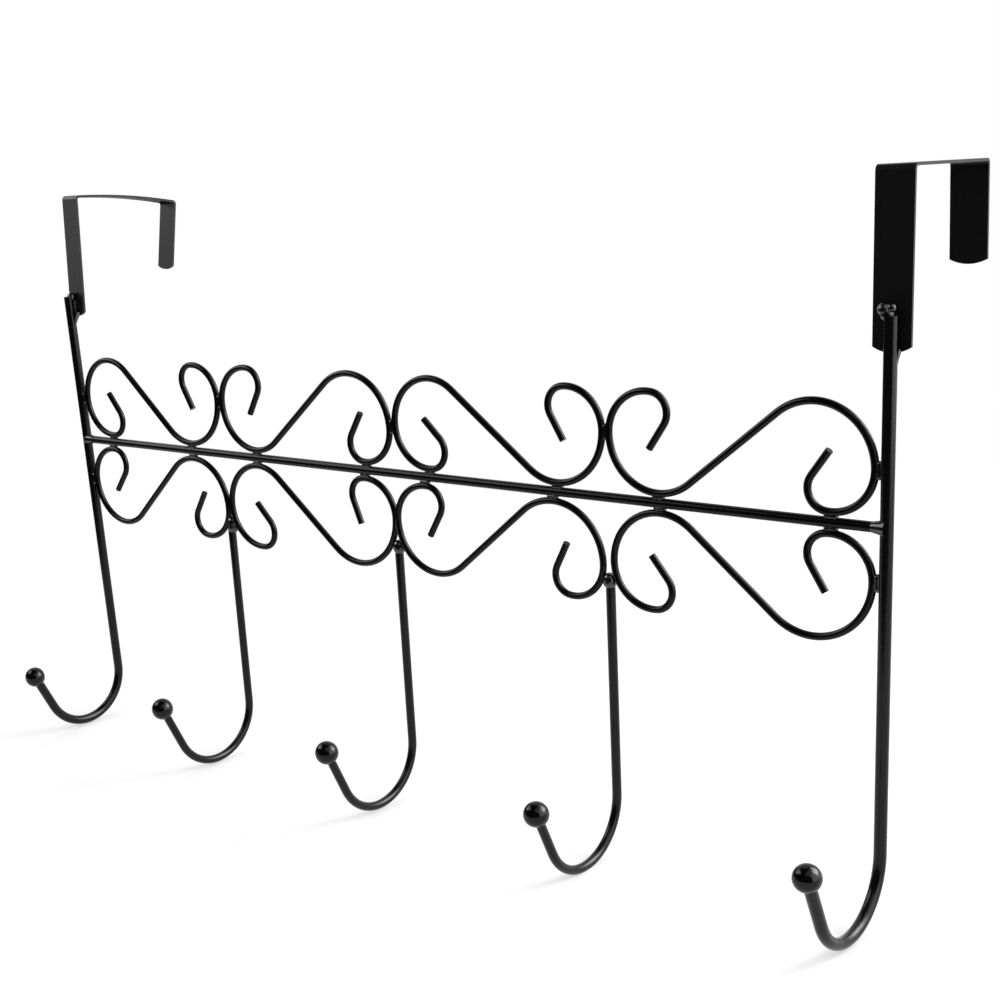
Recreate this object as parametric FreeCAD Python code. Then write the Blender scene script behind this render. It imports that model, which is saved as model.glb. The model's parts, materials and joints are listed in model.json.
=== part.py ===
import FreeCAD, Part
import math
import os

# Over door hook rail with scrollwork, in millimetres.
#
# Two flat steel straps bend over the top of a door. A round rod is welded to the front of each
# strap, hangs down and turns up into a hook with a ball on its end. One straight bar joins the
# two rods. Eight scrolls of thin wire fill the four bays above and below the bar, and three
# thinner hooks are wedged in under the places where two lower scrolls meet.
#
# Frame: X runs along the rail, with zero midway between the two outer rods. Y runs from the
# room into the door, with zero on the door's front face. Z is up, with zero on the door's top
# edge. The wires were welded lying face down, so the fronts of the rods, the bar, the scrolls and
# the inner hooks share one upright plane.

Vector = FreeCAD.Vector

# Stock the rail is made from
outer_wire = 4.2
inner_wire = 3.5
bar_wire = 3.5
scroll_wire = 2.6
ball_diameter = 9.2
strap_width = 12.2
strap_thickness = 1.0

# Straps
front_leg = 54.5
rear_leg = 32.4
strap_bend_inside = 0.9
front_end_rise = 1.8
rear_end_rise = 1.5
left_strap_shift = 2.1
right_strap_shift = -0.75

# Each strap was bent by hand: the gap between its legs, then degrees that its front leg leans back,
# its span falls to the rear and its rear leg leans in, and how far its span bows up
left_strap_bends = (52.9, 3.2, 6.1, 9.7, 1.25)
right_strap_bends = (51.9, 0.0, 1.1, -3.0, 0.0)
left_strap_turn = -5.7

# Two points nearer to each other than this are the same point
same_place = 0.001

# Rods and bar. The laps are from a strap's lower end up to the left rod's top, and the right rod's
# top is a little lower
bay_widths = [98.7, 100.3, 101.4, 102.2]
rod_rise = 67.5
right_lap = 14.5
left_lap = 9.1
right_rod_lower = 3.2
strap_rod_gap = 0.1
bar_end_gap = 0.2

# The left rod leans forward in degrees, and crosses its proper place this far below the bar
left_rod_lean = 0.77
left_rod_crossing = 45.0

# Hooks, from left to right: drop of the straight part below the bar, then the straight tip
hook_drops = [115.0, 113.9, 111.9, 111.6, 108.7]
tip_lengths = [19.2, 21.6, 21.2, 20.1, 22.5]
hook_bend_radius = 21.1
hook_sweep = 155.6
hook_wedge_gap = 0.5

# Scrolls: two halves of three arcs each, joined by a straight diagonal
scroll_height = 37.5
curl_radius = 7.0
curl_start = 82.3
curl_tail = 10.3
scroll_bar_gap = 0.4

# Each scroll was bent by hand. From left to right, first for the half whose curl is away from the
# bar and then for the half whose curl is beside it: the big arc's radius, and the curl's turn.
# Then how much taller than the others each one came out
upper_arcs = [(20.4, 18.5), (19.3, 21.1), (20.1, 18.4), (19.4, 20.3)]
upper_turns = [(111, 121), (114, 115), (113, 129), (117, 118)]
upper_extra_heights = [0.1, 0.2, 0.0, -0.2]
lower_arcs = [(20.5, 19.1), (18.7, 20.9), (21.2, 19.5), (19.2, 20.5)]
lower_turns = [(116, 122), (126, 103), (110, 114), (121, 114)]
lower_extra_heights = [-0.2, 0.9, -0.4, -0.2]

# Gaps from one scroll or rod to the next, left to right: rod, three joints, rod. Where two scrolls
# pass each other the gap is below zero. Then how far each joint is to the right of the hook below
upper_gaps = [1.3, 0.5, 0.5, 0.3, 0.3]
lower_gaps = [1.0, 0.2, -0.1, 2.1, 0.5]
upper_joint_shifts = [0.7, 1.2, 0.0]
lower_joint_shifts = [1.1, 0.3, -0.2]

# Degrees that a lower scroll swings about its outer side: the second back and the third forward
lower_swings = [0.0, 0.38, 0.29, 0.0]
upper_swings = [0.0, 0.0, 0.0, 0.0]

# Weld beads
bar_bead_length = 5.0
bar_bead_radius = 1.0
side_bead_length = 6.0
side_bead_radius = 0.95
end_bead_length = 2.4
end_bead_flare = 1.0
end_bead_edge = 0.05
hook_bead_lengths = [7.5, 6.0, 6.0]
hook_bead_rises = [1.4, -1.5, -0.7]
hook_bead_radius = 2.5
web_hollow = 0.25
left_web_width = 3.6
left_web_drop = 6.5
right_web_width = 0.6
right_web_drop = 4.0
# Lobes of the weld over a rod's top: offsets from the rod's top along X, Y and Z, then radius
left_lobes = [(0.4, 1.5, -0.4, 2.1)]
right_lobes = [(-2.4, 0.5, 1.8, 2.1), (0.0, 0.4, 2.2, 1.5), (-1.5, 0.9, 0.3, 2.3)]

# Sizes that follow from the ones above
outer_radius = outer_wire / 2
inner_radius = inner_wire / 2
bar_radius = bar_wire / 2
scroll_radius = scroll_wire / 2
ball_radius = ball_diameter / 2
strap_front = -strap_thickness
wire_y = strap_front - strap_rod_gap - outer_radius
front_y = wire_y - outer_radius
bar_y = front_y + bar_radius
inner_y = front_y + inner_radius
scroll_y = front_y + scroll_radius
right_strap_bottom = strap_thickness - front_leg
rod_top = right_strap_bottom + right_lap
right_rod_top = rod_top - right_rod_lower
left_strap_bottom = rod_top - left_lap
bar_z = rod_top - rod_rise
scroll_foot = bar_radius + scroll_bar_gap

rail_length = sum(bay_widths)
hook_x = [-rail_length / 2]
for bay_width in bay_widths:
    hook_x.append(hook_x[-1] + bay_width)


def arc_points(centre, radius, start, end):
    """Three points of an arc in the plane of the rail, from one angle in degrees to another."""
    points = []
    for angle in (start, (start + end) / 2, end):
        turn = math.radians(angle)
        points.append((centre[0] + radius * math.cos(turn), centre[1] + radius * math.sin(turn)))
    return points


def edge_through(points):
    """A straight edge through two points or an arc through three."""
    if len(points) == 2:
        return Part.makeLine(points[0], points[1])
    return Part.Arc(points[0], points[1], points[2]).toShape()


def round_wire(edges, diameter):
    """Round wire bent along a path of lines and arcs that follow each other."""
    first = edges[0]
    start = first.valueAt(first.FirstParameter)
    along = first.tangentAt(first.FirstParameter)
    section = Part.Wire([Part.makeCircle(diameter / 2, start, along)])
    return Part.Wire(edges).makePipeShell([section], True, True)


def slanted(across, up, degrees):
    """A direction across and up in the plane of a strap's side, turned down by some degrees."""
    turn = math.radians(degrees)
    back = across * math.cos(turn) + up * math.sin(turn)
    return Vector(0, back, up * math.cos(turn) - across * math.sin(turn))


def inner_normal(along):
    """The way from a strap's outside to its inside, for a stretch that runs from front to rear."""
    return Vector(0, along.z, -along.y)


def inside_corner(corner, before, after):
    """Where the insides of two stretches of a strap meet."""
    first = inner_normal(before)
    second = inner_normal(after)
    return corner + (first + second) * (strap_thickness / (1 + first.dot(second)))


def make_strap(bottom, bends):
    """A strap in its own place at X zero, with its front leg's lowest point at the given Z."""
    gap, front_lean, span_fall, rear_lean, bow = bends
    up = slanted(0, 1, front_lean)
    back = slanted(1, 0, span_fall)
    down = slanted(0, -1, rear_lean)
    heel = Vector(0, strap_front, bottom)
    front_corner = heel + up * front_leg
    rear_corner = front_corner + back * (gap + 2 * strap_thickness)
    foot = rear_corner + down * rear_leg
    inside_heel = heel + inner_normal(up) * strap_thickness
    inside_front = inside_corner(front_corner, up, back)
    inside_rear = inside_corner(rear_corner, back, down)
    inside_foot = foot + inner_normal(down) * strap_thickness

    def span(start, end):
        if bow == 0:
            return Part.makeLine(start, end)
        crest = (start + end) * 0.5 - inner_normal(back) * bow
        return Part.Arc(start, crest, end).toShape()

    outline = [
        Part.makeLine(heel, front_corner),
        span(front_corner, rear_corner),
        Part.makeLine(rear_corner, foot),
        Part.makeLine(foot, inside_foot),
        Part.makeLine(inside_foot, inside_rear),
        span(inside_rear, inside_front),
        Part.makeLine(inside_front, inside_heel),
        Part.makeLine(inside_heel, heel),
    ]
    section = Part.Face(Part.Wire(outline))
    section.translate(Vector(-strap_width / 2, 0, 0))
    strap = section.extrude(Vector(strap_width, 0, 0))

    outside_bend = strap_bend_inside + strap_thickness
    strap = strap.makeFillet(outside_bend, cross_edges(strap, [front_corner, rear_corner]))
    strap = strap.makeFillet(strap_bend_inside, cross_edges(strap, [inside_front, inside_rear]))
    strap = round_leg_end(strap, heel, front_lean, front_end_rise)
    return round_leg_end(strap, foot, rear_lean, rear_end_rise)


def cross_edges(strap, middles):
    """The edges that run across a strap and have their middles at the given points."""
    found = []
    for edge in strap.Edges:
        if min((edge.CenterOfMass - middle).Length for middle in middles) < same_place:
            found.append(edge)
    return found


def round_leg_end(strap, end, lean, rise):
    """Trim a leg's square end to the shallow arc that it is cut to."""
    half = strap_width / 2
    radius = (half * half + rise * rise) / (2 * rise)
    reach = 2 * strap_thickness
    start = Vector(-strap_width, -reach, -strap_thickness)
    offcut = Part.makeBox(2 * strap_width, 2 * reach, rise + strap_thickness, start)
    rounding = Part.makeCylinder(radius, 2 * reach, Vector(0, -reach, radius), Vector(0, 1, 0))
    offcut = offcut.cut(rounding)
    offcut.rotate(Vector(0, 0, 0), Vector(1, 0, 0), -lean)
    offcut.translate(end)
    return strap.cut(offcut)


def lean_left(shape):
    """Lean a piece that belongs to the left rod the way that the rod leans."""
    crossing = Vector(hook_x[0], wire_y, bar_z - left_rod_crossing)
    shape.rotate(crossing, Vector(1, 0, 0), left_rod_lean)
    return shape


def hook_tip(index):
    """Where a hook's bend is centred, where its straight tip starts and runs, and its ball."""
    plane = wire_y if index in (0, 4) else inner_y
    bend = Vector(hook_x[index], plane - hook_bend_radius, bar_z - hook_drops[index])
    turn = math.radians(hook_sweep)
    start = bend + Vector(0, math.cos(turn), -math.sin(turn)) * hook_bend_radius
    along = Vector(0, -math.sin(turn), -math.cos(turn))
    return bend, start, along, start + along * tip_lengths[index]


def make_hook(index, top, diameter):
    """A rod that hangs straight, turns through the hook bend and ends against its ball."""
    bend, tip_start, along, ball = hook_tip(index)
    neck = math.sqrt(ball_radius ** 2 - (diameter / 2) ** 2)
    half_turn = math.radians(hook_sweep / 2)
    bend_middle = bend + Vector(0, math.cos(half_turn), -math.sin(half_turn)) * hook_bend_radius
    bend_start = bend + Vector(0, hook_bend_radius, 0)
    head = Vector(bend_start.x, bend_start.y, top)
    path = [
        edge_through([head, bend_start]),
        edge_through([bend_start, bend_middle, tip_start]),
        edge_through([tip_start, ball - along * neck]),
    ]
    return round_wire(path, diameter)


def make_ball(index, diameter):
    """A ball with the small flat where the end of the wire is welded to it."""
    along, centre = hook_tip(index)[2:]
    neck = math.sqrt(ball_radius ** 2 - (diameter / 2) ** 2)
    ball = Part.makeSphere(ball_radius, centre, along)
    flat = Part.makeCylinder(ball_radius, ball_radius, centre - along * neck, along * -1)
    return ball.cut(flat)


def side_radius(height, big_radius):
    """Radius of the arc between a scroll's curl and its big arc, so that the height comes out."""
    return height - scroll_wire - big_radius


def scroll_half(height, big_radius, turn, leave):
    """Tail, curl, side arc and big arc of the half whose curl is at the upper left, feet at zero."""
    level = scroll_radius + big_radius
    side_bend = side_radius(height, big_radius)
    side_centre = (scroll_radius + side_bend, level)
    start = math.radians(curl_start)
    reach = side_bend - curl_radius
    curl_centre = (side_centre[0] + reach * math.cos(start), level + reach * math.sin(start))
    curl_end = curl_start - turn
    tail_turn = math.radians(curl_end)

    curl = arc_points(curl_centre, curl_radius, curl_end, curl_start)
    tail = (curl[0][0] + curl_tail * math.sin(tail_turn), curl[0][1] - curl_tail * math.cos(tail_turn))
    side = arc_points(side_centre, side_bend, curl_start, 180)
    big = arc_points((level, level), big_radius, 180, leave)
    return [[tail, curl[0]], curl, side, big]


def scroll_path(width, height, arcs, turns):
    """Corner and arc points of one scroll with its free curl at the upper left, feet at zero."""
    inset = scroll_wire + arcs[0] + arcs[1]
    across = (width - inset, height - inset)
    lean = math.atan2(across[1], across[0])
    opening = math.acos((arcs[0] + arcs[1]) / math.hypot(across[0], across[1]))
    leave = 360 + math.degrees(lean - opening)
    free = scroll_half(height, arcs[0], turns[0], leave)
    beside = scroll_half(height, arcs[1], turns[1], leave)

    def turned(point):
        return (width - point[0], height - point[1])

    other = []
    for points in reversed(beside):
        other.append([turned(point) for point in reversed(points)])
    return free + [[free[3][2], other[0][0]]] + other


class Scroll:
    """One scroll of a row: its place, its bends, where it touches its neighbours, and its wire."""

    def __init__(self, row, number, edges, height, arcs, turns, swing):
        self.side = 1 if row == "upper" else -1
        self.left, self.right = edges
        self.height = height
        self.arcs = arcs
        self.free_left = number % 2 == 1
        self.slope = math.tan(math.radians(swing))
        self.pivot = self.left if number < 2 else self.right
        placed = []
        for points in scroll_path(self.right - self.left, height, arcs, turns):
            placed.append(edge_through([self.place(x, z) for x, z in points]))
        self.wire = round_wire(placed, scroll_wire)
        self.wire.rotate(Vector(self.pivot, scroll_y, 0), Vector(0, 0, 1), swing)

    def place(self, across, height):
        x = self.left + across if self.free_left else self.right - across
        return Vector(x, scroll_y, bar_z + self.side * (scroll_foot + height))

    def plane(self, x):
        """Y of the wire at an X, which changes along a scroll that swings."""
        return scroll_y + self.slope * (x - self.pivot)

    def feet(self):
        """X of the two places where the scroll stands on the bar."""
        near_free = self.place(scroll_radius + self.arcs[0], 0).x
        side_bend = side_radius(self.height, self.arcs[1])
        beside = self.place(self.right - self.left - scroll_radius - side_bend, 0).x
        return [near_free, beside]

    def contact(self, at_left):
        """Z where the scroll reaches furthest to one side, and the radius of the bend beyond it."""
        if at_left == self.free_left:
            level = scroll_radius + self.arcs[0]
            return self.place(0, level).z, side_radius(self.height, self.arcs[0])
        return self.place(0, self.height - scroll_radius - self.arcs[1]).z, self.arcs[1]

    def wedge_top(self, x):
        """Highest Z that the top of an inner hook at an X can have under the nearer side."""
        at_left = x < (self.left + self.right) / 2
        level, bend = self.contact(at_left)
        side = self.left + scroll_radius if at_left else self.right - scroll_radius
        clear = inner_radius + scroll_radius + hook_wedge_gap
        needed = math.sqrt(clear ** 2 - (self.plane(side) - inner_y) ** 2)
        spread = needed - (side - x if at_left else x - side)
        return level - math.sqrt(bend ** 2 - (bend - spread) ** 2)


def bead(centre, along, length, radius):
    """A short weld bead with round ends, before the wires are cut out of it."""
    start = centre - along * (length / 2 - radius)
    end = centre + along * (length / 2 - radius)
    body = Part.makeCylinder(radius, length - 2 * radius, start, along)
    return body.fuse([Part.makeSphere(radius, start), Part.makeSphere(radius, end)])


def weld(shape, wires):
    """The weld metal that is left round the pieces it joins, as one solid."""
    shape = shape.removeSplitter()
    for wire in wires:
        shape = shape.cut(wire)
    solids = sorted(shape.Solids, key=lambda solid: solid.Volume)
    return solids[-1]


def corner_web(rod_x, strap_bottom, width, drop):
    """A concave web of weld between a rod's right side and a strap, thinner towards its foot."""
    top = strap_bottom + front_end_rise
    inside = Vector(rod_x, wire_y, top)
    outside = Vector(rod_x + outer_radius + width, wire_y, top)
    toe = Vector(rod_x + outer_radius, wire_y, strap_bottom - drop)
    hollow = Vector(toe.x + width * web_hollow, wire_y, strap_bottom - drop * web_hollow)
    base = Vector(rod_x, wire_y, strap_bottom - drop)
    outline = [
        edge_through([inside, outside]),
        edge_through([outside, hollow, toe]),
        edge_through([toe, base]),
        edge_through([base, inside]),
    ]
    depth = strap_front + strap_thickness / 2 - wire_y
    web = Part.Face(Part.Wire(outline)).extrude(Vector(0, depth, 0))
    side = Part.makePolygon([base, inside, inside + Vector(0, depth, 0), base])
    taper = Part.Face(side).extrude(Vector(outer_radius + width, 0, 0))
    return web.common(taper)


def top_blob(rod_x, top, lobes):
    """Round lobes of weld that run into each other over the top of a rod."""
    balls = []
    for across, back, up, radius in lobes:
        balls.append(Part.makeSphere(radius, Vector(rod_x + across, wire_y + back, top + up)))
    return balls[0].multiFuse(balls[1:]) if len(balls) > 1 else balls[0]


def scroll_edges(gaps, joints):
    """Left and right X of the four scrolls of a row."""
    places = []
    left = hook_x[0] + outer_radius + gaps[0]
    for joint, gap in zip(joints, gaps[1:4]):
        places.append((left, joint - gap / 2))
        left = joint + gap / 2
    places.append((left, hook_x[4] - outer_radius - gaps[4]))
    return places


nodes = {}

# Rods, the outer hooks
left_rod = lean_left(make_hook(0, rod_top, outer_wire))
right_rod = make_hook(4, right_rod_top, outer_wire)
nodes["left_outer_hook"] = left_rod
nodes["right_outer_hook"] = right_rod

# Straps: the left one follows the rod's lean where it is welded on, and is turned a little
right_strap = make_strap(right_strap_bottom, right_strap_bends)
right_strap.translate(Vector(hook_x[4] + right_strap_shift, 0, 0))
left_strap = make_strap(left_strap_bottom, left_strap_bends)
heel = Vector(0, strap_front, left_strap_bottom)
left_strap.rotate(heel, Vector(0, 0, 1), left_strap_turn)
heel_height = left_strap_bottom - bar_z + left_rod_crossing
heel_forward = heel_height * math.tan(math.radians(left_rod_lean))
left_strap.translate(Vector(hook_x[0] + left_strap_shift, -heel_forward, 0))
nodes["left_door_strap"] = left_strap
nodes["right_door_strap"] = right_strap

# Crossbar
bar_reach = outer_radius + bar_end_gap
bar_start = Vector(hook_x[0] + bar_reach, bar_y, bar_z)
bar_length = rail_length - 2 * bar_reach
crossbar = Part.makeCylinder(bar_radius, bar_length, bar_start, Vector(1, 0, 0))
nodes["crossbar"] = crossbar

# Scrolls: each is about the mirror image of the next one along and of the one below it
row_sizes = {
    "upper": (upper_gaps, upper_joint_shifts),
    "lower": (lower_gaps, lower_joint_shifts),
}
row_bends = {
    "upper": (upper_extra_heights, upper_arcs, upper_turns, upper_swings),
    "lower": (lower_extra_heights, lower_arcs, lower_turns, lower_swings),
}
rows = {}
for row, (gaps, shifts) in row_sizes.items():
    joints = [x + shift for x, shift in zip(hook_x[1:4], shifts)]
    extras, arcs, turns, swings = row_bends[row]
    rows[row] = []
    for number, edges in enumerate(scroll_edges(gaps, joints)):
        height = scroll_height + extras[number]
        scroll = Scroll(row, number, edges, height, arcs[number], turns[number], swings[number])
        rows[row].append(scroll)
        nodes["%s_scroll_%d" % (row, number + 1)] = scroll.wire

# Inner hooks, wedged between the lower scrolls, and the balls on all five hooks
inner_names = ["left_inner_hook", "middle_inner_hook", "right_inner_hook"]
inner_tops = []
inner_rods = []
for number, name in enumerate(inner_names):
    neighbours = rows["lower"][number:number + 2]
    top = min(scroll.wedge_top(hook_x[number + 1]) for scroll in neighbours)
    rod = make_hook(number + 1, top, inner_wire)
    inner_tops.append(top)
    inner_rods.append(rod)
    nodes[name] = rod

for index in range(5):
    wire = outer_wire if index in (0, 4) else inner_wire
    ball = make_ball(index, wire)
    nodes["ball_tip_%d" % (index + 1)] = lean_left(ball) if index == 0 else ball

# Weld beads between the scrolls and the bar
for row, scrolls in rows.items():
    bar_beads = []
    for scroll in scrolls:
        for foot in scroll.feet():
            seam = bar_z + scroll.side * (bar_radius + scroll_bar_gap / 2)
            centre = Vector(foot, (bar_y + scroll.plane(foot)) / 2, seam)
            blank = bead(centre, Vector(1, 0, 0), bar_bead_length, bar_bead_radius)
            bar_beads.append(weld(blank, [crossbar, scroll.wire]))
    nodes["%s_bar_welds" % row] = Part.makeCompound(bar_beads)

# Beads from the rods to the end scrolls, and between the upper scrolls
for row, scrolls in rows.items():
    gaps = row_sizes[row][0]
    side_beads = []
    for rod, rod_side, scroll, gap in (
        (left_rod, hook_x[0] + outer_radius, scrolls[0], gaps[0]),
        (right_rod, hook_x[4] - outer_radius, scrolls[3], gaps[4]),
    ):
        at_left = rod is left_rod
        middle = rod_side + gap / 2 if at_left else rod_side - gap / 2
        centre = Vector(middle, scroll_y, scroll.contact(at_left)[0])
        blank = bead(centre, Vector(0, 0, 1), side_bead_length, side_bead_radius + gap / 2)
        side_beads.append(weld(blank, [rod, scroll.wire]))
    if row == "upper":
        for first, second in zip(scrolls, scrolls[1:]):
            height = (first.contact(False)[0] + second.contact(True)[0]) / 2
            gap = second.left - first.right
            centre = Vector(first.right + gap / 2, scroll_y, height)
            blank = bead(centre, Vector(0, 0, 1), side_bead_length, side_bead_radius + gap / 2)
            side_beads.append(weld(blank, [first.wire, second.wire]))
    nodes["%s_side_welds" % row] = Part.makeCompound(side_beads)

# Flared beads where the bar meets the rods
end_beads = []
for rod, rod_x, inward in ((left_rod, hook_x[0], 1), (right_rod, hook_x[4], -1)):
    centre = Vector(rod_x, bar_y, bar_z)
    reach = outer_radius + end_bead_length
    root = bar_radius + end_bead_flare
    toe = bar_radius + end_bead_edge
    flare = Part.makeCone(root, toe, reach, centre, Vector(inward, 0, 0))
    end_beads.append(weld(flare, [rod, crossbar]))
nodes["bar_end_welds"] = Part.makeCompound(end_beads)

# Welds from the rods to the straps: a blob over the rod's top and a web under the strap
left_blanks = [top_blob(hook_x[0], rod_top, left_lobes)]
left_blanks.append(corner_web(hook_x[0], left_strap_bottom, left_web_width, left_web_drop))
right_blanks = [top_blob(hook_x[4], right_rod_top, right_lobes)]
right_blanks.append(corner_web(hook_x[4], right_strap_bottom, right_web_width, right_web_drop))
left_welds = [weld(lean_left(blank), [left_rod, left_strap]) for blank in left_blanks]
right_welds = [weld(blank, [right_rod, right_strap]) for blank in right_blanks]
nodes["left_strap_welds"] = Part.makeCompound(left_welds)
nodes["right_strap_welds"] = Part.makeCompound(right_welds)

# Beads that hold the inner hooks up between the lower scrolls
hook_beads = []
for number, (top, rod) in enumerate(zip(inner_tops, inner_rods)):
    first, second = rows["lower"][number:number + 2]
    centre = Vector((first.right + second.left) / 2, inner_y, top + hook_bead_rises[number])
    blank = bead(centre, Vector(0, 0, 1), hook_bead_lengths[number], hook_bead_radius)
    hook_beads.append(weld(blank, [rod, first.wire, second.wire]))
nodes["inner_hook_welds"] = Part.makeCompound(hook_beads)

for name, shape in nodes.items():
    print(name, shape.isValid(), len(shape.Solids), round(shape.Volume, 2))

os.makedirs("parts", exist_ok=True)
for name, shape in nodes.items():
    shape.exportStep(os.path.join("parts", name + ".step"))
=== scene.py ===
# %% [markdown]
# # An over door hook rail in black enamel
#
# The rail in the photograph looks like steel wire and flat steel strip, welded together and
# coated in black enamel. Its solids come from the CAD frame, so this lesson is about what makes
# black paint look like paint: the way it reflects a studio, and the fine skin of the coat.

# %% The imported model
import json
import math

import bpy
from mathutils import Matrix, Vector


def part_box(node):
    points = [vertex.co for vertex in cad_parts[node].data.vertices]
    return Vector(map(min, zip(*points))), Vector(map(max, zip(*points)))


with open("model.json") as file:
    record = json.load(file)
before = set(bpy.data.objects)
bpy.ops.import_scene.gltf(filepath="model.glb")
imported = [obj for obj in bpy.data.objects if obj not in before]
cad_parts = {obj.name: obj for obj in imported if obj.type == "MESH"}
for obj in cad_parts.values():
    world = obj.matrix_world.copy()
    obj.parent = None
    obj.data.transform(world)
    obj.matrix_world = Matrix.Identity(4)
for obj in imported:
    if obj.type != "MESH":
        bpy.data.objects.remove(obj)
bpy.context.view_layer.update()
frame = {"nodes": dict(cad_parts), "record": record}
rail = frame["nodes"]

# %% [markdown]
# ## Shader maths that reads like arithmetic
#
# A material is a graph of nodes, and even a short sum takes several boxes and wires. The class
# below wraps one output socket, so that `0.2 + 0.1 * grain` builds those nodes by itself.
# Everything else goes through one method, which sets a node up and plugs values in.

# %% A wrapped socket and a finish


class Amount:
    """A number that changes over a surface."""

    def __init__(self, finish, socket):
        self.finish = finish
        self.socket = socket

    def combine(self, operation, first, second):
        node = self.finish.node("ShaderNodeMath", {"operation": operation}, {0: first, 1: second})
        return Amount(self.finish, node.outputs[0])

    def __add__(self, other):
        return self.combine("ADD", self, other)

    def __radd__(self, other):
        return self.combine("ADD", other, self)

    def __mul__(self, other):
        return self.combine("MULTIPLY", self, other)

    def __rmul__(self, other):
        return self.combine("MULTIPLY", other, self)


class Finish:
    """One material, with the nodes that make it."""

    def __init__(self, name):
        self.material = bpy.data.materials.new(name)
        self.material.use_nodes = True
        self.tree = self.material.node_tree
        self.tree.nodes.clear()

    def node(self, kind, settings=(), sockets=()):
        made = self.tree.nodes.new(kind)
        for name, value in dict(settings).items():
            setattr(made, name, value)
        for name, value in dict(sockets).items():
            if isinstance(value, Amount):
                value = value.socket
            if isinstance(value, bpy.types.NodeSocket):
                self.tree.links.new(value, made.inputs[name])
            else:
                made.inputs[name].default_value = value
        return made

    def grain(self, size, detail=2.0, roughness=0.5):
        """Noise between 0 and 1 whose lumps are about this many millimetres across."""
        place = self.node("ShaderNodeTexCoord").outputs["Object"]
        sockets = {"Vector": place, "Scale": 1000 / size, "Detail": detail, "Roughness": roughness}
        return Amount(self, self.node("ShaderNodeTexNoise", {}, sockets).outputs["Fac"])

    def surface(self, shader):
        self.node("ShaderNodeOutputMaterial", {}, {"Surface": shader})
        return self.material


print("shader helpers ready")

# %% [markdown]
# ## Black enamel
#
# The enamel is nearly black and a little cloudy, and it has a skin of tiny waves that break up
# the reflections. Colour says very little here: roughness and bump do the work.
#
# Each finish is the same recipe with its own numbers. The numbers were set by comparing grey
# levels with the photograph, and are not measurements of paint. The thin wires are duller than the
# rods, and the welds glossier, because that came closest in this light. The black itself is
# lightest on the straps and darkest on the thin wires, and that difference in colour is painted
# light and shade, which brings each piece to its grey level in this light. Whether the real coat
# differs from piece to piece isn't known.

# %% The enamel recipe
PATCH_SIZE = 14.0
SPECKLE_SIZE = 0.9
PATCH_ROUGHNESS = 0.05
SPECKLE_ROUGHNESS = 0.06
FINE_RIPPLE_SHARE = 0.25
RIPPLE_HEIGHT = 0.0001


def enamel(name, colour, cloud, roughness, ripple, ripple_size, specular):
    """Black paint: its colour, cloudiness, gloss and the depth and size of its ripples."""
    finish = Finish(name)
    patches = finish.grain(PATCH_SIZE)
    speckle = finish.grain(SPECKLE_SIZE, detail=3.0)
    shade = 1 - cloud + 2 * cloud * patches
    tint = finish.node("ShaderNodeCombineColor", {}, {
        "Red": colour[0] * shade,
        "Green": colour[1] * shade,
        "Blue": colour[2] * shade,
    })
    skin = finish.grain(ripple_size) + FINE_RIPPLE_SHARE * finish.grain(ripple_size / 4)
    bump = finish.node("ShaderNodeBump", {}, {
        "Strength": ripple,
        "Distance": RIPPLE_HEIGHT,
        "Height": skin,
    })
    paint = finish.node("ShaderNodeBsdfPrincipled", {}, {
        "Base Color": tint.outputs[0],
        "Roughness": roughness + SPECKLE_ROUGHNESS * speckle + PATCH_ROUGHNESS * patches,
        "Specular IOR Level": specular,
        "Normal": bump.outputs[0],
    })
    return finish.surface(paint.outputs[0])


# Painted light and shade: the base colours are lightest on the straps, darkest on the thin wires.
hook_enamel = enamel(
    "hook_enamel", (0.0018, 0.0018, 0.0019), cloud=0.25,
    roughness=0.13, ripple=0.3, ripple_size=1.6, specular=0.23,
)
scroll_enamel = enamel(
    "scroll_enamel", (0.001, 0.001, 0.0011), cloud=0.25,
    roughness=0.16, ripple=0.3, ripple_size=1.2, specular=0.17,
)
strap_enamel = enamel(
    "strap_enamel", (0.0035, 0.0035, 0.0037), cloud=0.2,
    roughness=0.24, ripple=0.3, ripple_size=0.8, specular=0.2,
)
ball_enamel = enamel(
    "ball_enamel", (0.0012, 0.0012, 0.0013), cloud=0.15,
    roughness=0.05, ripple=0.12, ripple_size=2.4, specular=0.25,
)
weld_enamel = enamel(
    "weld_enamel", (0.0015, 0.0015, 0.0016), cloud=0.3,
    roughness=0.08, ripple=1.0, ripple_size=1.1, specular=0.8,
)
print("five enamels")

# %% Each CAD node gets its enamel


def paint(name, material):
    """Give a node of the frame one finish, whatever it came with."""
    mesh = rail[name].data
    mesh.materials.clear()
    mesh.materials.append(material)
    for face in mesh.polygons:
        face.material_index = 0


slots = {s["node"]: s["material_slot"] for s in frame["record"]["subparts"]}
finishes = {
    "wire_enamel": hook_enamel,
    "strap_enamel": strap_enamel,
    "ball_enamel": ball_enamel,
    "weld_enamel": weld_enamel,
}
for name in sorted(rail):
    thin = "scroll" in name or name == "crossbar"
    paint(name, scroll_enamel if thin else finishes[slots[name]])
print(len(rail), "nodes painted")

# %% [markdown]
# ## The white table
#
# The rail stands on a white table that runs into white paper with no edge between them. Near the
# rail, about half of the table's white is a plain glow that the camera and the reflections see.
# The other half is ordinary white paint, so the rail still leaves its soft shadow where the hooks
# touch down. Further away the table is all glow, so that no horizon shows.

# %% Table
TABLE_HALF = 6.0
TABLE_GAP = 0.0003
NEAR_GLOW = 0.45
GLOW_STARTS = 0.35
GLOW_FULL = 0.9
PAPER_WHITE = 0.98


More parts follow.
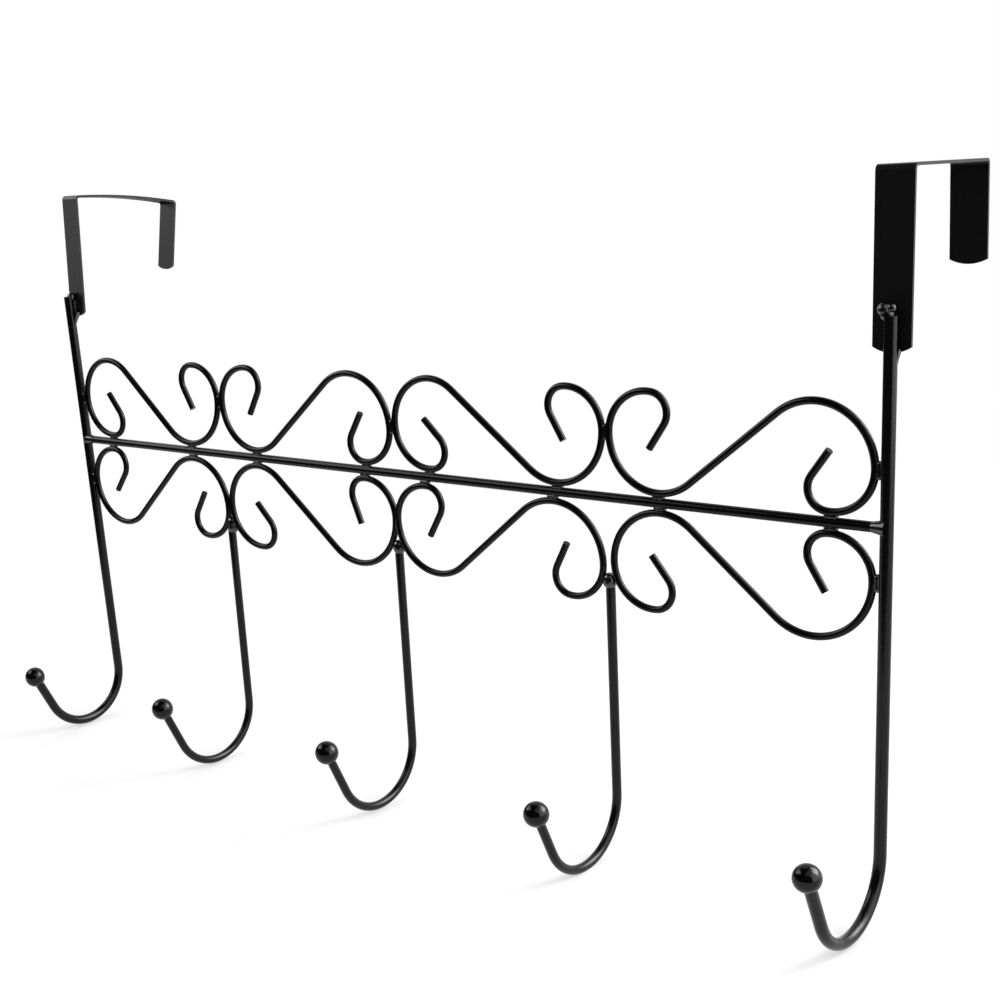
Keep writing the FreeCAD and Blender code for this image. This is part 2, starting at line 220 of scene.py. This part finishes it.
def white_table():
    """A floor under the hooks, a little out of level as the rail stands on it."""
    half = TABLE_HALF
    left_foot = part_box("left_outer_hook")[0]
    right_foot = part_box("right_outer_hook")[0]
    slope = (right_foot.z - left_foot.z) / (right_foot.x - left_foot.x)
    corners = []
    for x, y in ((-half, -half), (half, -half), (half, half), (-half, half)):
        corners.append((x, y, left_foot.z - TABLE_GAP + slope * (x - left_foot.x)))
    mesh = bpy.data.meshes.new("white_table")
    mesh.from_pydata(corners, [], [(0, 1, 2, 3)])
    table = bpy.data.objects.new("white_table", mesh)
    bpy.context.scene.collection.objects.link(table)
    return table


def table_paint():
    """White paint that glows for the camera and for reflections, more so away from the rail."""
    finish = Finish("table_paint")
    place = finish.node("ShaderNodeTexCoord").outputs["Object"]
    away = finish.node("ShaderNodeVectorMath", {"operation": "LENGTH"}, {0: place}).outputs["Value"]
    ramp = finish.node("ShaderNodeMapRange", {"interpolation_type": "SMOOTHSTEP"}, {
        "Value": away,
        "From Min": GLOW_STARTS,
        "From Max": GLOW_FULL,
        "To Min": NEAR_GLOW,
        "To Max": 1.0,
    })
    glow = Amount(finish, ramp.outputs[0])
    rays = finish.node("ShaderNodeLightPath")
    seen = Amount(finish, rays.outputs["Is Camera Ray"])
    mirrored = Amount(finish, rays.outputs["Is Glossy Ray"])
    through = Amount(finish, rays.outputs["Is Transmission Ray"])
    share = glow * (seen + mirrored + through)
    paper = (PAPER_WHITE, PAPER_WHITE, PAPER_WHITE, 1)
    plain = finish.node("ShaderNodeBsdfDiffuse", {}, {"Color": paper})
    shine = finish.node("ShaderNodeEmission", {}, {"Color": (1, 1, 1, 1), "Strength": 1.0})
    mixed = finish.node("ShaderNodeMixShader", {}, {
        0: share,
        1: plain.outputs[0],
        2: shine.outputs[0],
    })
    return finish.surface(mixed.outputs[0])


table = white_table()
table.data.materials.append(table_paint())
print("table at", [round(v.co.z, 4) for v in table.data.vertices][:2])

# %% [markdown]
# ## The white room
#
# Black paint has almost no colour of its own, so the photograph of a black rail is a picture of
# what it reflects. The room is plain white to the camera and in reflections, and lights the rail
# evenly at a little less than that.

# %% The white room
ROOM_LIGHT = 0.9


def white_world(strength):
    """A white room whose light on things has a strength of its own."""
    world = bpy.data.worlds.new("studio")
    bpy.context.scene.world = world
    world.use_nodes = True
    tree = world.node_tree
    rays = tree.nodes.new("ShaderNodeLightPath")
    seen = rays.outputs["Is Camera Ray"]
    for name in ("Is Glossy Ray", "Is Transmission Ray"):
        either = tree.nodes.new("ShaderNodeMath")
        either.operation = "MAXIMUM"
        tree.links.new(seen, either.inputs[0])
        tree.links.new(rays.outputs[name], either.inputs[1])
        seen = either.outputs[0]
    level = tree.nodes.new("ShaderNodeMapRange")
    level.inputs["To Min"].default_value = strength
    tree.links.new(seen, level.inputs["Value"])
    background = tree.nodes["Background"]
    background.inputs["Color"].default_value = (1, 1, 1, 1)
    tree.links.new(level.outputs[0], background.inputs["Strength"])


white_world(ROOM_LIGHT)
print("white room, light", ROOM_LIGHT)

# %% [markdown]
# ## Lamps
#
# A square lamp stands for a window behind the rail to the right. It lights the rail and lays the
# shadows to the left of the hooks. The other three show only in reflections and don't light matt
# surfaces: the wider glow round the window, a white panel at the right and a soft lamp at the
# front left. They draw the bright lines along the wires. Their places and brightness were set to
# bring the highlights near those in the photograph, and say nothing sure about the room it was
# taken in. A brightness of 1 is that of lit white paper.

# %% Lamps
RAIL_MIDDLE = (0, 0, -0.12)
NEAR_BALL = (0.2, -0.045, -0.22)
PANEL_MIDDLE = (0.85, 0.44, 0.16)
PANEL_FACES = (0, 0.44, 0.16)


def soft_lamp(name, place, target, size, brightness, reflections_only=False):
    """A rectangular lamp, width and height in metres, that faces a point."""
    lamp = bpy.data.lights.new(name, "AREA")
    lamp.shape = "RECTANGLE"
    lamp.size, lamp.size_y = size
    lamp.energy = brightness * math.pi * size[0] * size[1]
    holder = bpy.data.objects.new(name, lamp)
    holder.location = place
    towards = Vector(target) - Vector(place)
    holder.rotation_euler = towards.to_track_quat("-Z", "Y").to_euler()
    bpy.context.scene.collection.objects.link(holder)
    holder.visible_camera = False
    if reflections_only:
        holder.visible_diffuse = False


soft_lamp("window", (0.72, 0.54, 0.4), NEAR_BALL, size=(0.5, 0.5), brightness=9.0)
soft_lamp(
    "window_glow", (0.8, 0.68, 0.6), NEAR_BALL,
    size=(1.2, 1.1), brightness=5.5, reflections_only=True,
)
soft_lamp(
    "right_panel", PANEL_MIDDLE, PANEL_FACES,
    size=(1.52, 0.8), brightness=2.2, reflections_only=True,
)
soft_lamp(
    "front_left_lamp", (-0.79, -0.44, 0.485), RAIL_MIDDLE,
    size=(0.9, 0.6), brightness=3.4, reflections_only=True,
)
print("four lamps")

# %% [markdown]
# ## Felt
#
# A white room would turn black wire grey, so dark felt stands in front of the rail, beyond its
# left end, on the table at the right, behind the camera and high over the rail. The front piece
# stands between the camera and the rail. That works only in a scene like this, where the felt is
# hidden from the camera and shows in reflections alone. What really darkened the wires in the
# photograph isn't known.

# %% Felt
FELT_SHADE = 0.03
FLOOR = -0.24
CURTAIN_TOP = 0.03
LEFT_CURTAIN_TOP = -0.06
ROOM_TOP = 0.8


def felt_paint(shade):
    """Dark felt."""
    finish = Finish("felt")
    felt = finish.node("ShaderNodeBsdfDiffuse", {}, {"Color": (shade, shade, shade, 1)})
    return finish.surface(felt.outputs[0])


def felt_card(name, corners, felt):
    """A flat piece of felt that shows only in reflections."""
    mesh = bpy.data.meshes.new(name)
    mesh.from_pydata(corners, [], [(0, 1, 2, 3)])
    card = bpy.data.objects.new(name, mesh)
    bpy.context.scene.collection.objects.link(card)
    mesh.materials.append(felt)
    card.visible_camera = False
    card.visible_diffuse = False
    card.visible_shadow = False


def upright(name, start, end, low, high, felt):
    """Felt that hangs between two places of the floor plan and two heights."""
    corners = [(*start, low), (*end, low), (*end, high), (*start, high)]
    felt_card(name, corners, felt)


def flat(name, start, end, height, felt):
    """Felt that lies level between two opposite corners of the floor plan."""
    corners = [(start[0], start[1], height), (end[0], start[1], height)]
    corners += [(end[0], end[1], height), (start[0], end[1], height)]
    felt_card(name, corners, felt)


felt = felt_paint(FELT_SHADE)
upright("front_curtain", (-0.45, -0.26), (0.72, -0.26), FLOOR, CURTAIN_TOP, felt)
upright("left_curtain", (-0.45, -0.26), (-0.45, 0.4), FLOOR, LEFT_CURTAIN_TOP, felt)
upright("far_curtain", (-1.4, -1.0), (1.0, -1.0), FLOOR, ROOM_TOP, felt)
flat("felt_ceiling", (-1.4, -1.0), (0.3, 0.2), ROOM_TOP, felt)
flat("felt_cloth", (0.42, -0.7), (0.85, 1.2), FLOOR, felt)
print("five pieces of felt")

# %% [markdown]
# ## The camera
#
# The photograph looks at the rail from its right-hand end and from near by, so the near hook looks
# about half as large again as the far one. The camera was solved from the rail itself. The middle of
# its lens comes out away from the middle of the picture, as in a cropped one, and a lens shift
# repeats that.

# %% Camera
CAMERA_PLACE = (0.397523, -0.431118, 0.009792)
CAMERA_AZIMUTH = 43.0245
CAMERA_ELEVATION = 15.6511
CAMERA_ROLL = -3.9315
FOCAL_PIXELS = 1512.05
PICTURE_CENTRE = (403.35, 589.52)
PICTURE_SIZE = 1000
SENSOR = 36.0


def photograph_camera():
    """The camera at the place that was solved from the photograph."""
    turn = math.radians(CAMERA_AZIMUTH)
    rise = math.radians(CAMERA_ELEVATION)
    back = Vector((math.sin(turn) * math.cos(rise), -math.cos(turn) * math.cos(rise), math.sin(rise)))
    right = Vector((math.cos(turn), math.sin(turn), 0))
    up = back.cross(right)
    level = Matrix((right, up, back)).transposed().to_4x4()
    camera = bpy.data.cameras.new("photograph_camera")
    camera.sensor_width = SENSOR
    camera.lens = FOCAL_PIXELS * SENSOR / PICTURE_SIZE
    camera.shift_x = (PICTURE_SIZE / 2 - PICTURE_CENTRE[0]) / PICTURE_SIZE
    camera.shift_y = (PICTURE_CENTRE[1] - PICTURE_SIZE / 2) / PICTURE_SIZE
    camera.clip_start = 0.01
    holder = bpy.data.objects.new("photograph_camera", camera)
    roll = Matrix.Rotation(math.radians(CAMERA_ROLL), 4, "Z")
    holder.matrix_world = Matrix.Translation(CAMERA_PLACE) @ level @ roll
    bpy.context.scene.collection.objects.link(holder)
    bpy.context.scene.camera = holder
    return camera


lens = photograph_camera()
bpy.context.scene.view_settings.view_transform = "Standard"
print("lens", round(lens.lens, 2), "shift", round(lens.shift_x, 4), round(lens.shift_y, 4))
